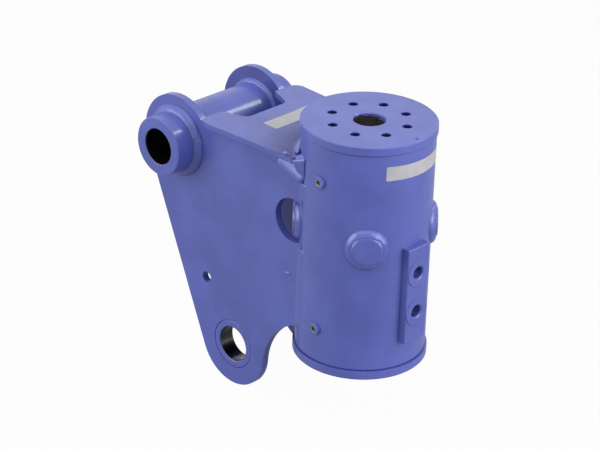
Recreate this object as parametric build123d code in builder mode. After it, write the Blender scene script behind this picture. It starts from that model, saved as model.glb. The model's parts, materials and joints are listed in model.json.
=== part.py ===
from build123d import *
import os
from math import acos, atan2, cos, radians, sin, sqrt, tan

os.makedirs("parts", exist_ok=True)

# Platform rotator: a helical hydraulic rotary actuator welded into a lifting bracket.
# The origin is the centre of the end cap's lower face, +Z runs up the rotation axis,
# +X points from the bracket to the port block, and -Y is the side seen in the photo.
# Lengths are in millimetres and angles in degrees.

# Actuator envelope
housing_od = 139.7
housing_wall = 12.85
flange_lip = 1.45
flange_rim = 9.2
cap_lip = 2.05
cap_rim = 9.6
end_gap = 0.6
edge_break = 1.0

# Clearances that several pieces share
weld_fit = 0.1
press_fit = 0.05
running_gap = 0.3
thread_gap = 0.1
mesh_gap = 0.4

# Flange and end cap drillings
bolt_count = 8
bolt_circle_inset = 14.0
bolt_drill_r = 5.1
bolt_depth = 20.0
bolt_mouth = 0.5
centre_bore_mouth = 1.2
dimple_inset = 4.35
dimple_r = 1.8
dimple_depth = 1.0

# Helical drive, from the housing inwards: ring gear, piston sleeve, splined shaft
rotation_range = 180.0
ring_lead = 252.0
shaft_lead = 189.0
ring_gear_wall = 4.35
ring_teeth = 18
ring_tooth_depth = 3.0
ring_gap_inner_half = 5.9
ring_gap_outer_half = 4.9
sleeve_wall = 12.2
sleeve_tooth_root_half = 5.0
sleeve_tooth_tip_half = 4.1
shaft_teeth = 12
shaft_tooth_depth = 3.0
shaft_tip_gap = 1.0
shaft_tooth_root_half = 7.6
shaft_tooth_tip_half = 6.4
sleeve_gap_inner_half = 8.8
sleeve_gap_outer_half = 7.0
journal_step = 3.0
thread_step = 3.0
shaft_wall = 10.25

# Lengths along the rotation axis, from the end cap up
cap_length = 38.0
lower_end_space = 13.0
head_length = 24.0
inlet_land = 10.0
ring_length = 36.0
sleeve_mesh_length = 44.0
mesh_margin = 2.0
upper_end_space = 2.5
upper_spigot_length = 24.0

# Bearings and seals
bearing_wall = 3.6
bearing_width = 10.0
seal_wall = 4.2
seal_width = 5.0
ring_pitch_gap = 3.0
washer_wall = 4.6
washer_thickness = 3.2
piston_seal_wall = 3.9
piston_seal_width = 6.0
piston_ring_wall = 2.3
piston_ring_width = 11.0
cap_ring_minor_r = 1.25
cap_ring_groove_width = 3.2
cap_ring_groove_depth = 2.8
cap_ring_drop = 12.0

# Ring gear pins, welded in from outside
pin_count = 4
pin_first_angle = 45.0
pin_drop = 5.1
pin_nose_r = 9.0
pin_head_r = 17.0
pin_nose_wall = 6.0
pin_bite = 3.2
pin_stand = 5.65
pin_end_break = 1.8
pin_weld_leg = 8.0
pin_weld_drop = 1.0
pin_weld_depth = 10.5

# Lock screws between shaft and end cap
lock_screw_count = 3
lock_screw_r = 3.0
lock_screw_length = 12.0
lock_screw_first_angle = 90.0
lock_screw_hex_r = 1.6
lock_screw_hex_depth = 4.0

# Bleed screws
lower_bleed_rise = 10.5
upper_bleed_drop = 16.0
bleed_head_r = 6.6
bleed_stand = 3.0
bleed_seat_depth = 1.2
bleed_shank_r = 4.0
bleed_shank_wall = 4.0
bleed_hex_r = 2.6
bleed_hex_depth = 3.5

# Port block
block_width = 31.0
block_stand = 7.3
block_lower_lap = 4.0
block_upper_lap = 15.2
block_edge = 0.8
lower_port_rise = 33.7
upper_port_drop = 30.0
port_pad_r = 15.3
port_pad_height = 1.0
port_drill_r = 6.8
port_mouth = 1.5
port_depth = 16.0
oil_way_r = 2.5
oil_channel_depth = 3.0

# Bracket
plate_inset = 6.85
plate_thickness = 8.0
pivot_x = -220.7
pivot_drop = 41.0
pivot_tube_od = 65.6
pivot_tube_stand = 28.2
pin_bore_r = 20.0
head_r = 50.7
lower_x = -129.7
lower_z = -27.5
lobe_r = 47.6
bush_od = 56.0
bush_length = 20.0
arch_r = 75.0
arch_z = -35.0
slope_start_x = -69.8
slope_angle = 26.0
tie_hole_x = -171.8
tie_hole_z = 38.7
tie_hole_r = 6.5
access_x = -44.2
access_rise = 3.4
access_r = 24.7
roof_drop = 28.6
roof_thickness = 6.0
roof_left_x = -177.0
roof_right_x = -42.0
roof_left_overhang = 10.8
roof_right_overhang = 4.2
roof_left_corner_r = 12.0
roof_right_corner_r = 3.0
notch_back_x = -147.5
notch_back_half = 29.0
notch_mouth_half = 44.0
notch_corner_r = 8.0

# Bracket welds
pivot_weld_out = 8.0
pivot_weld_in = 5.0
roof_weld_leg = 4.5
roof_weld_left_x = -168.0
roof_weld_right_x = -80.0
collar_weld_leg = 6.0
collar_weld_half = 43.0
seam_plate_reach = 7.3
seam_housing_turn = 7.5
seam_bulge = 0.3
seam_break = 3.0
inner_seam_leg = 7.0

# Radii worked out from the sizes above
housing_r = housing_od / 2
bore_r = housing_r - housing_wall
spigot_r = bore_r - running_gap
flange_r = housing_r + flange_lip
cap_r = housing_r + cap_lip
ring_gear_r = bore_r - press_fit
ring_root_r = ring_gear_r - ring_gear_wall
ring_tip_r = ring_root_r - ring_tooth_depth
sleeve_tip_r = ring_root_r - mesh_gap
sleeve_root_r = ring_tip_r - mesh_gap
sleeve_bore_r = sleeve_root_r - sleeve_wall
shaft_tip_r = sleeve_bore_r - shaft_tip_gap
shaft_root_r = shaft_tip_r - shaft_tooth_depth
sleeve_inner_tip_r = shaft_root_r + mesh_gap
journal_r = shaft_root_r - journal_step
thread_r = journal_r - thread_step
centre_bore_r = thread_r - shaft_wall
bolt_circle_r = thread_r + bolt_circle_inset
washer_inner_r = bore_r + mesh_gap
washer_outer_r = washer_inner_r + washer_wall
pin_shoulder = bore_r + pin_nose_wall
pin_floor = ring_gear_r - pin_bite
pin_end = housing_r + pin_stand
pin_weld_top = pin_end - pin_weld_drop
block_front = housing_r + block_stand
port_face = block_front + port_pad_height
port_floor = port_face - port_depth
tube_r = pivot_tube_od / 2
bush_r = bush_od / 2
plate_outer_y = housing_r - plate_inset
plate_inner_y = plate_outer_y - plate_thickness
pivot_half_length = plate_outer_y + pivot_tube_stand

# Heights worked out from the lengths above
half_stroke = rotation_range / 720 / (1 / ring_lead + 1 / shaft_lead)
housing_bottom = cap_rim + end_gap
cap_top = cap_length
head_bottom = cap_top + lower_end_space + half_stroke
head_top = head_bottom + head_length
ring_bottom = head_top + half_stroke + inlet_land
ring_top = ring_bottom + ring_length
sleeve_top = ring_top + half_stroke + mesh_margin
sleeve_mesh_bottom = sleeve_top - sleeve_mesh_length
outer_teeth_bottom = ring_bottom - half_stroke - mesh_margin
spline_bottom = sleeve_mesh_bottom - half_stroke
spline_top = sleeve_top + half_stroke
upper_spigot_bottom = spline_top + upper_end_space
flange_underside = upper_spigot_bottom + upper_spigot_length
overall_height = flange_underside + flange_rim
housing_top = flange_underside - end_gap
washer_seat = washer_thickness - end_gap + running_gap
lower_inlet_z = cap_top + lower_end_space / 2
upper_inlet_z = ring_bottom - inlet_land / 2
pin_height = (ring_bottom + ring_top) / 2 - pin_drop
bleed_heights = (cap_top + lower_bleed_rise, upper_spigot_bottom - upper_bleed_drop)
block_bottom = lower_inlet_z - block_lower_lap
block_top = upper_inlet_z + block_upper_lap
port_heights = (block_bottom + lower_port_rise, block_top - upper_port_drop)
roof_top_z = housing_top - roof_drop
side_top_z = roof_top_z - roof_thickness
pivot_z = roof_top_z - pivot_drop
access_z = pin_height + access_rise
arch_x = lower_x + sqrt((lobe_r + arch_r) ** 2 - (arch_z - lower_z) ** 2)
pin_angles = [pin_first_angle + 360 / pin_count * n for n in range(pin_count)]


def finish(piece, name):
    """Label a finished piece and write its file."""
    piece.label = name
    export_step(piece, f"parts/{name}.step")
    print(name, "volume", round(piece.volume), "solids", len(piece.solids()))


def tooth_outline(count, inner_r, outer_r, inner_half, outer_half, turn):
    """Closed wire of a splined section, turned about the rotation axis."""
    corners = []
    for tooth in range(count):
        middle = 360 / count * tooth + turn
        for radius, offset in (
            (inner_r, -inner_half),
            (outer_r, -outer_half),
            (outer_r, outer_half),
            (inner_r, inner_half),
        ):
            angle = radians(middle + offset)
            corners.append((radius * cos(angle), radius * sin(angle), 0))
    return Wire.make_polygon(corners)


def helical_spline(count, inner_r, outer_r, halves, bottom, top, turn_per_mm):
    """Solid whose splined section turns steadily as it rises."""
    outline = tooth_outline(count, inner_r, outer_r, *halves, bottom * turn_per_mm)
    rise = top - bottom
    body = Solid.extrude_linear_with_rotation(outline, (0, 0, 0), (0, 0, rise), rise * turn_per_mm)
    return body.moved(Location((0, 0, bottom)))


def plain_ring(name, inner_r, outer_r, middle, width):
    """Seal, bearing ring or washer of rectangular section about the rotation axis."""
    with BuildPart() as ring:
        with BuildSketch(Plane.XY.offset(middle - width / 2)):
            Circle(outer_r)
            Circle(inner_r, mode=Mode.SUBTRACT)
        extrude(amount=width)
    finish(ring.part, name)


def seam_spans(seam_x):
    """Spans of a seam between housing and side plate, below and above the access hole."""
    arch_end = arch_z + sqrt(arch_r**2 - (seam_x - arch_x) ** 2)
    slope_end = side_top_z + (slope_start_x - seam_x) * tan(radians(slope_angle))
    return (
        (arch_end, access_z - access_r - seam_break),
        (access_z + access_r + seam_break, slope_end),
    )


def radial_plane(angle, radius, height):
    """Plane whose normal points straight out from the rotation axis."""
    outward = (cos(radians(angle)), sin(radians(angle)), 0)
    origin = (radius * outward[0], radius * outward[1], height)
    return Plane(origin=origin, x_dir=(-outward[1], outward[0], 0), z_dir=outward)


# Housing tube with its pin holes, bleed holes, port drillings and oil ways
with BuildPart() as housing:
    with BuildSketch(Plane.XY.offset(housing_bottom)):
        Circle(housing_r)
    extrude(amount=housing_top - housing_bottom)
    chamfer(housing.edges().filter_by(GeomType.CIRCLE), edge_break)
    with BuildSketch(Plane.XY.offset(housing_bottom)):
        Circle(bore_r)
    extrude(amount=housing_top - housing_bottom, mode=Mode.SUBTRACT)
    with BuildSketch(Plane.XY.offset(housing_bottom), Plane.XY.offset(housing_top)):
        Circle(washer_outer_r + weld_fit)
    extrude(amount=washer_seat, both=True, mode=Mode.SUBTRACT)
    for pin_angle in pin_angles:
        with BuildSketch(radial_plane(pin_angle, 0, pin_height)):
            Circle(pin_nose_r + press_fit)
        extrude(amount=housing_r, mode=Mode.SUBTRACT)
        with BuildSketch(radial_plane(pin_angle, pin_shoulder, pin_height)):
            Circle(pin_head_r + press_fit)
        extrude(amount=housing_r, mode=Mode.SUBTRACT)
    for bleed_height in bleed_heights:
        with BuildSketch(radial_plane(-90, 0, bleed_height)):
            Circle(bleed_shank_r + thread_gap)
        extrude(amount=housing_r, mode=Mode.SUBTRACT)
        with BuildSketch(radial_plane(-90, housing_r - bleed_seat_depth, bleed_height)):
            Circle(bleed_head_r + thread_gap)
        extrude(amount=housing_r, mode=Mode.SUBTRACT)
    for port_height in port_heights:
        with BuildSketch(radial_plane(0, port_floor, port_height)):
            Circle(port_drill_r)
        extrude(amount=housing_r, mode=Mode.SUBTRACT)
    for inlet_z in (lower_inlet_z, upper_inlet_z):
        with BuildSketch(radial_plane(0, 0, inlet_z)):
            Circle(oil_way_r)
        extrude(amount=housing_r, mode=Mode.SUBTRACT)
finish(housing.part, "housing")

# Ring gear with internal right-hand helical teeth
ring_gap = helical_spline(
    ring_teeth,
    ring_tip_r,
    ring_root_r,
    (ring_gap_inner_half, ring_gap_outer_half),
    ring_bottom,
    ring_top,
    360 / ring_lead,
)
with BuildPart() as ring_gear:
    with BuildSketch(Plane.XY.offset(ring_bottom)):
        Circle(ring_gear_r)
    extrude(amount=ring_length)
    add(ring_gap, mode=Mode.SUBTRACT)
    for pin_angle in pin_angles:
        with BuildSketch(radial_plane(pin_angle, pin_floor, pin_height)):
            Circle(pin_nose_r + press_fit)
        extrude(amount=housing_r, mode=Mode.SUBTRACT)
finish(ring_gear.part, "ring_gear")

# Four pins that lock the ring gear to the housing
with BuildPart() as ring_gear_pins:
    for pin_angle in pin_angles:
        with BuildSketch(radial_plane(pin_angle, pin_floor + press_fit, pin_height)):
            Circle(pin_nose_r)
        extrude(amount=pin_shoulder - pin_floor)
        with BuildSketch(radial_plane(pin_angle, pin_shoulder, pin_height)):
            Circle(pin_head_r)
        extrude(amount=pin_end - pin_shoulder)
    pin_rims = ring_gear_pins.edges().filter_by(GeomType.CIRCLE)
    pin_rims = pin_rims.filter_by(lambda edge: edge.arc_center.X**2 + edge.arc_center.Y**2 > housing_r**2)
    chamfer(pin_rims, pin_end_break)
finish(ring_gear_pins.part, "ring_gear_pins")

# Fillet welds round the pins, trimmed to the housing
with BuildPart() as pin_welds:
    for pin_angle in pin_angles:
        across = radial_plane(pin_angle, 0, pin_height)
        with BuildSketch(Plane(origin=across.origin, x_dir=across.z_dir, z_dir=(0, 0, 1))):
            with BuildLine():
                Polyline(
                    (pin_weld_top - pin_weld_depth, pin_head_r + press_fit),
                    (pin_weld_top - pin_weld_depth, pin_head_r + pin_weld_leg),
                    (pin_weld_top, pin_head_r + press_fit),
                    close=True,
                )
            make_face()
        revolve(axis=Axis(across.origin, across.z_dir))
    with BuildSketch():
        Circle(housing_r)
    extrude(amount=overall_height, mode=Mode.SUBTRACT)
finish(pin_welds.part, "pin_welds")

# Shaft: threaded end, journal, left-hand helical spline, spigot and output flange
shaft_spline = helical_spline(
    shaft_teeth,
    shaft_root_r,
    shaft_tip_r,
    (shaft_tooth_root_half, shaft_tooth_tip_half),
    spline_bottom,
    spline_top,
    -360 / shaft_lead,
)
upper_bearing_z = upper_spigot_bottom + ring_pitch_gap + bearing_width / 2
upper_seal_z = upper_bearing_z + bearing_width / 2 + ring_pitch_gap + seal_width / 2
with BuildPart() as shaft:
    with BuildSketch():
        Circle(thread_r)
    extrude(amount=cap_top)
    with BuildSketch(Plane.XY.offset(cap_top)):
        Circle(journal_r)
    extrude(amount=spline_bottom - cap_top)
    add(shaft_spline)
    with BuildSketch(Plane.XY.offset(spline_top)):
        Circle(shaft_root_r)
    extrude(amount=upper_end_space)
    with BuildSketch(Plane.XY.offset(upper_spigot_bottom)):
        Circle(spigot_r)
    extrude(amount=flange_underside - upper_spigot_bottom)
    with BuildSketch(Plane.XY.offset(flange_underside)):
        Circle(flange_r)
    extrude(amount=flange_rim)
    chamfer(shaft.edges().group_by(Axis.Z)[-1], edge_break)
    with BuildSketch(Plane.XY.offset(upper_bearing_z)):
        Circle(spigot_r)
        Circle(spigot_r - bearing_wall - press_fit, mode=Mode.SUBTRACT)
    extrude(amount=bearing_width / 2 + press_fit, both=True, mode=Mode.SUBTRACT)
    with BuildSketch(Plane.XY.offset(upper_seal_z)):
        Circle(spigot_r)
        Circle(spigot_r - seal_wall - press_fit, mode=Mode.SUBTRACT)
    extrude(amount=seal_width / 2 + press_fit, both=True, mode=Mode.SUBTRACT)
    with BuildSketch():
        Circle(centre_bore_r)
    extrude(amount=overall_height, mode=Mode.SUBTRACT)
    bore_rims = shaft.edges().filter_by(GeomType.CIRCLE)
    bore_rims = bore_rims.filter_by(lambda edge: edge.radius < centre_bore_r + press_fit)
    chamfer(bore_rims, centre_bore_mouth)
    with BuildSketch(Plane.XY.offset(overall_height)):
        with PolarLocations(bolt_circle_r, bolt_count, start_angle=180 / bolt_count):
            Circle(bolt_drill_r)
    extrude(amount=-bolt_depth, mode=Mode.SUBTRACT)
    bolt_rims = shaft.edges().group_by(Axis.Z)[-1].filter_by(GeomType.CIRCLE)
    chamfer(bolt_rims.filter_by(lambda edge: edge.radius < bolt_drill_r + press_fit), bolt_mouth)
    with BuildSketch(Plane.XY.offset(overall_height)):
        with Locations((housing_r - dimple_inset, 0)):
            Circle(dimple_r)
    extrude(amount=-dimple_depth, mode=Mode.SUBTRACT)
    with BuildSketch():
        with PolarLocations(thread_r, lock_screw_count, start_angle=lock_screw_first_angle):
            Circle(lock_screw_r + press_fit)
    extrude(amount=lock_screw_length + press_fit, mode=Mode.SUBTRACT)
finish(shaft.part, "shaft")
plain_ring("upper_bearing", spigot_r - bearing_wall, spigot_r, upper_bearing_z, bearing_width)
plain_ring("upper_shaft_seal", spigot_r - seal_wall, spigot_r, upper_seal_z, seal_width)

# End cap, screwed on the shaft below the housing
lower_bearing_z = cap_top - ring_pitch_gap - bearing_width / 2
lower_seal_z = lower_bearing_z - bearing_width / 2 - ring_pitch_gap - seal_width / 2
with BuildPart() as end_cap:
    with BuildSketch():
        Circle(cap_r)
    extrude(amount=cap_rim)
    chamfer(end_cap.edges().group_by(Axis.Z)[0], edge_break)
    with BuildSketch(Plane.XY.offset(cap_rim)):
        Circle(spigot_r)
    extrude(amount=cap_top - cap_rim)
    with BuildSketch(Plane.XY.offset(lower_bearing_z)):
        Circle(spigot_r)
        Circle(spigot_r - bearing_wall - press_fit, mode=Mode.SUBTRACT)
    extrude(amount=bearing_width / 2 + press_fit, both=True, mode=Mode.SUBTRACT)
    with BuildSketch(Plane.XY.offset(lower_seal_z)):
        Circle(spigot_r)
        Circle(spigot_r - seal_wall - press_fit, mode=Mode.SUBTRACT)
    extrude(amount=seal_width / 2 + press_fit, both=True, mode=Mode.SUBTRACT)
    with BuildSketch():
        Circle(thread_r + thread_gap)
    extrude(amount=cap_top, mode=Mode.SUBTRACT)
    with BuildSketch(Plane.XY.offset(cap_top - cap_ring_drop)):
        Circle(thread_r + thread_gap + cap_ring_groove_depth)
    extrude(amount=cap_ring_groove_width / 2, both=True, mode=Mode.SUBTRACT)
    with BuildSketch():
        with PolarLocations(bolt_circle_r, bolt_count, start_angle=180 / bolt_count):
            Circle(bolt_drill_r)
    extrude(amount=bolt_depth, mode=Mode.SUBTRACT)
    with BuildSketch():
        with PolarLocations(thread_r, lock_screw_count, start_angle=lock_screw_first_angle):
            Circle(lock_screw_r + press_fit)
    extrude(amount=lock_screw_length + press_fit, mode=Mode.SUBTRACT)
finish(end_cap.part, "end_cap")
plain_ring("lower_bearing", spigot_r - bearing_wall, spigot_r, lower_bearing_z, bearing_width)
plain_ring("lower_shaft_seal", spigot_r - seal_wall, spigot_r, lower_seal_z, seal_width)

# Seal ring between shaft thread and end cap
with BuildPart() as cap_o_ring:
    with BuildSketch(Plane.XZ):
        with Locations((thread_r + thread_gap + cap_ring_groove_depth / 2, cap_top - cap_ring_drop)):
            Circle(cap_ring_minor_r)
    revolve(axis=Axis.Z)
finish(cap_o_ring.part, "cap_o_ring")

# Lock screws on the joint line of shaft and end cap
with BuildPart() as cap_lock_screws:
    with BuildSketch():
        with PolarLocations(thread_r, lock_screw_count, start_angle=lock_screw_first_angle):
            Circle(lock_screw_r)
            RegularPolygon(lock_screw_hex_r, 6, mode=Mode.SUBTRACT)
    extrude(amount=lock_screw_hex_depth)
    with BuildSketch(Plane.XY.offset(lock_screw_hex_depth)):
        with PolarLocations(thread_r, lock_screw_count, start_angle=lock_screw_first_angle):
            Circle(lock_screw_r)
    extrude(amount=lock_screw_length - lock_screw_hex_depth)
finish(cap_lock_screws.part, "cap_lock_screws")

# Thrust washers let into the ends of the housing
washer_shift = running_gap + washer_thickness / 2
upper_washer_z = flange_underside - washer_shift
lower_washer_z = cap_rim + washer_shift
plain_ring("upper_thrust_washer", washer_inner_r, washer_outer_r, upper_washer_z, washer_thickness)
plain_ring("lower_thrust_washer", washer_inner_r, washer_outer_r, lower_washer_z, washer_thickness)

# Piston sleeve: grooved head, tube, outer right-hand and inner left-hand helical teeth
head_middle = (head_bottom + head_top) / 2
seal_to_ring = (piston_seal_width + piston_ring_width) / 2 + ring_pitch_gap
piston_seal_z = head_middle - seal_to_ring / 2 - running_gap
piston_ring_z = piston_seal_z + seal_to_ring
inner_r = journal_r + running_gap
piston_grooves = (
    (piston_seal_z, piston_seal_width, piston_seal_wall),
    (piston_ring_z, piston_ring_width, piston_ring_wall),
)
sleeve_teeth = helical_spline(
    ring_teeth,
    sleeve_root_r,
    sleeve_tip_r,
    (sleeve_tooth_root_half, sleeve_tooth_tip_half),
    outer_teeth_bottom,
    sleeve_top,
    360 / ring_lead,
)
sleeve_gap = helical_spline(
    shaft_teeth,
    sleeve_inner_tip_r,
    sleeve_bore_r,
    (sleeve_gap_inner_half, sleeve_gap_outer_half),
    sleeve_mesh_bottom,
    sleeve_top,
    -360 / shaft_lead,
)
with BuildPart() as piston_sleeve:
    with BuildSketch(Plane.XY.offset(head_bottom)):
        Circle(spigot_r)
    extrude(amount=head_length)
    with BuildSketch(Plane.XY.offset(head_top)):
        Circle(sleeve_root_r)
    extrude(amount=outer_teeth_bottom - head_top)
    add(sleeve_teeth)
    for groove_z, groove_width, groove_wall in piston_grooves:
        with BuildSketch(Plane.XY.offset(groove_z)):
            Circle(spigot_r + running_gap)
            Circle(spigot_r - groove_wall - running_gap, mode=Mode.SUBTRACT)
        extrude(amount=groove_width / 2 + running_gap, both=True, mode=Mode.SUBTRACT)
        with BuildSketch(Plane.XY.offset(groove_z)):
            Circle(inner_r + groove_wall + running_gap)
        extrude(amount=groove_width / 2 + running_gap, both=True, mode=Mode.SUBTRACT)
    with BuildSketch(Plane.XY.offset(head_bottom)):
        Circle(inner_r)
    extrude(amount=head_length, mode=Mode.SUBTRACT)
    with BuildSketch(Plane.XY.offset(head_top)):
        Circle(sleeve_bore_r)
    extrude(amount=sleeve_mesh_bottom - head_top, mode=Mode.SUBTRACT)
    add(sleeve_gap, mode=Mode.SUBTRACT)
finish(piston_sleeve.part, "piston_sleeve")
outer_wall_r = spigot_r - piston_seal_wall
plain_ring("piston_outer_seal", outer_wall_r, spigot_r, piston_seal_z, piston_seal_width)
outer_wall_r = spigot_r - piston_ring_wall
plain_ring("piston_wear_ring", outer_wall_r, spigot_r, piston_ring_z, piston_ring_width)
inner_wall_r = inner_r + piston_seal_wall
plain_ring("piston_inner_seal", inner_r, inner_wall_r, piston_seal_z, piston_seal_width)
inner_wall_r = inner_r + piston_ring_wall
plain_ring("piston_inner_ring", inner_r, inner_wall_r, piston_ring_z, piston_ring_width)

# Port block with two threaded ports, and a channel from each port to its oil way
with BuildPart() as port_block:
    with BuildSketch(Plane.YZ.offset(housing_r / 2)):
        with Locations((0, (block_bottom + block_top) / 2)):
            Rectangle(block_width, block_top - block_bottom)
    extrude(amount=block_front - housing_r / 2)
    chamfer(port_block.edges().group_by(Axis.X)[-1], block_edge)
    with BuildSketch(Plane.YZ.offset(block_front)):
        with Locations(*[(0, port_height) for port_height in port_heights]):
            Circle(port_pad_r)
    extrude(amount=port_pad_height)
    with BuildSketch():
        Circle(housing_r)
    extrude(amount=overall_height, mode=Mode.SUBTRACT)
    for inlet_z, port_height in zip((lower_inlet_z, upper_inlet_z), port_heights):
        with BuildSketch(Plane.YZ.offset(housing_r - oil_channel_depth)):
            with Locations((0, (inlet_z + port_height) / 2)):
                SlotCenterToCenter(abs(port_height - inlet_z), 2 * oil_way_r, rotation=90)
        extrude(amount=2 * oil_channel_depth, mode=Mode.SUBTRACT)
    with BuildSketch(Plane.YZ.offset(port_face)):
        with Locations(*[(0, port_height) for port_height in port_heights]):
            Circle(port_drill_r)
    extrude(amount=-port_depth, mode=Mode.SUBTRACT)
    port_rims = port_block.edges().filter_by(GeomType.CIRCLE)
    port_rims = port_rims.filter_by(lambda edge: edge.radius < port_drill_r + press_fit)
    chamfer(port_rims.group_by(Axis.X)[-1], port_mouth)
finish(port_block.part, "port_block")

# Two bleed screws with hexagon sockets
with BuildPart() as bleed_screws:
    for bleed_height in bleed_heights:
        with BuildSketch(radial_plane(-90, bore_r + bleed_shank_wall, bleed_height)):
            Circle(bleed_shank_r)
        extrude(amount=housing_r - bore_r - bleed_shank_wall)
        with BuildSketch(radial_plane(-90, housing_r - bleed_seat_depth, bleed_height)):
            Circle(bleed_head_r)
        extrude(amount=bleed_seat_depth + bleed_stand)
    head_rims = bleed_screws.edges().group_by(Axis.Y)[0]
    chamfer(head_rims, edge_break / 2)
    for bleed_height in bleed_heights:
        with BuildSketch(radial_plane(-90, housing_r + bleed_stand, bleed_height)):
            RegularPolygon(bleed_hex_r, 6)
        extrude(amount=-bleed_hex_depth, mode=Mode.SUBTRACT)
finish(bleed_screws.part, "bleed_screws")

# Side plates: a pivot head, a lower lobe, an arch under the housing and three openings
reach = sqrt((lower_x - pivot_x) ** 2 + (lower_z - pivot_z) ** 2)
edge_turn = atan2(lower_z - pivot_z, lower_x - pivot_x) - acos((head_r - lobe_r) / reach)
edge_x, edge_z = cos(edge_turn), sin(edge_turn)
head_corner_x = pivot_x + sqrt(head_r**2 - (side_top_z - pivot_z) ** 2)
slope_end_z = side_top_z + slope_start_x * tan(radians(slope_angle))
for name, start in (("side_plate_right", plate_inner_y), ("side_plate_left", -plate_outer_y)):
    with BuildPart() as side_plate:
        with BuildSketch(Plane.XZ.offset(start)):
            with BuildLine():
                Polyline(
                    (pivot_x, pivot_z),
                    (pivot_x + head_r * edge_x, pivot_z + head_r * edge_z),
                    (lower_x + lobe_r * edge_x, lower_z + lobe_r * edge_z),
                    (lower_x, lower_z),
                    (arch_x, arch_z),
                    (0, arch_z),
                    (0, slope_end_z),
                    (slope_start_x, side_top_z),
                    (head_corner_x, side_top_z),
                    close=True,
                )
            make_face()
            with Locations((pivot_x, pivot_z)):
                Circle(head_r)
            with Locations((lower_x, lower_z)):
                Circle(lobe_r)
            with Locations((arch_x, arch_z)):
                Circle(arch_r, mode=Mode.SUBTRACT)
            with Locations((pivot_x, pivot_z)):
                Circle(tube_r + weld_fit, mode=Mode.SUBTRACT)
            with Locations((lower_x, lower_z)):
                Circle(bush_r + weld_fit, mode=Mode.SUBTRACT)
            with Locations((tie_hole_x, tie_hole_z)):
                Circle(tie_hole_r, mode=Mode.SUBTRACT)
            with Locations((access_x, access_z)):
                Circle(access_r, mode=Mode.SUBTRACT)
        extrude(amount=plate_thickness)
        with BuildSketch():
            Circle(housing_r + weld_fit)
        extrude(amount=overall_height, both=True, mode=Mode.SUBTRACT)
    finish(side_plate.part, name)

# Top plate with a collar round the housing and a notch round the pivot tube
with BuildPart() as top_plate:
    with BuildSketch(Plane.XY.offset(side_top_z)) as roof:
        with BuildLine():
            left_half = plate_outer_y + roof_left_overhang
            right_half = plate_outer_y + roof_right_overhang
            Polyline(
                (roof_left_x, -left_half),
                (roof_right_x, -right_half),
                (roof_right_x, right_half),
                (roof_left_x, left_half),
                close=True,
            )
        make_face()
        fillet(roof.vertices().group_by(Axis.X)[0], roof_left_corner_r)
        fillet(roof.vertices().group_by(Axis.X)[-1], roof_right_corner_r)
        with BuildSketch(mode=Mode.SUBTRACT) as notch:
            with BuildLine():
                mouth_x = roof_left_x - notch_corner_r
                Polyline(
                    (mouth_x, -notch_mouth_half),
                    (notch_back_x, -notch_back_half),
                    (notch_back_x, notch_back_half),
                    (mouth_x, notch_mouth_half),
                    close=True,
                )
            make_face()
            fillet(notch.vertices().group_by(Axis.X)[-1], notch_corner_r)
        Circle(housing_r + weld_fit, mode=Mode.SUBTRACT)
    extrude(amount=roof_thickness)
finish(top_plate.part, "top_plate")

# Pivot tube through both heads
with BuildPart() as pivot_tube:
    with BuildSketch(Plane.XZ.offset(-pivot_half_length)):
        with Locations((pivot_x, pivot_z)):
            Circle(tube_r)
            Circle(pin_bore_r, mode=Mode.SUBTRACT)
    extrude(amount=2 * pivot_half_length)
    chamfer(pivot_tube.edges().filter_by(GeomType.CIRCLE), edge_break)
finish(pivot_tube.part, "pivot_tube")

# Lower bushes, flush with the outer faces of the side plates
for name, start in (
    ("lower_bush_right", plate_outer_y - bush_length),
    ("lower_bush_left", -plate_outer_y),
):
    with BuildPart() as lower_bush:
        with BuildSketch(Plane.XZ.offset(start)):
            with Locations((lower_x, lower_z)):
                Circle(bush_r)
                Circle(pin_bore_r, mode=Mode.SUBTRACT)
        extrude(amount=bush_length)
        chamfer(lower_bush.edges().filter_by(GeomType.CIRCLE), edge_break)
    finish(lower_bush.part, name)

# Fillet welds round the pivot tube, outside and inside both heads
with BuildPart() as pivot_welds:
    with BuildSketch(Plane(origin=(pivot_x, 0, pivot_z))):
        for face_y, leg, way in (
            (plate_outer_y, pivot_weld_out, 1),
            (plate_inner_y, pivot_weld_in, -1),
        ):
            for side in (-1, 1):
                with BuildLine():
                    Polyline(
                        (tube_r, side * face_y),
                        (tube_r + leg, side * face_y),
                        (tube_r, side * (face_y + way * leg)),
                        close=True,
                    )
                make_face()
    revolve(axis=Axis((pivot_x, 0, pivot_z), (0, 1, 0)))
finish(pivot_welds.part, "pivot_welds")

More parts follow.
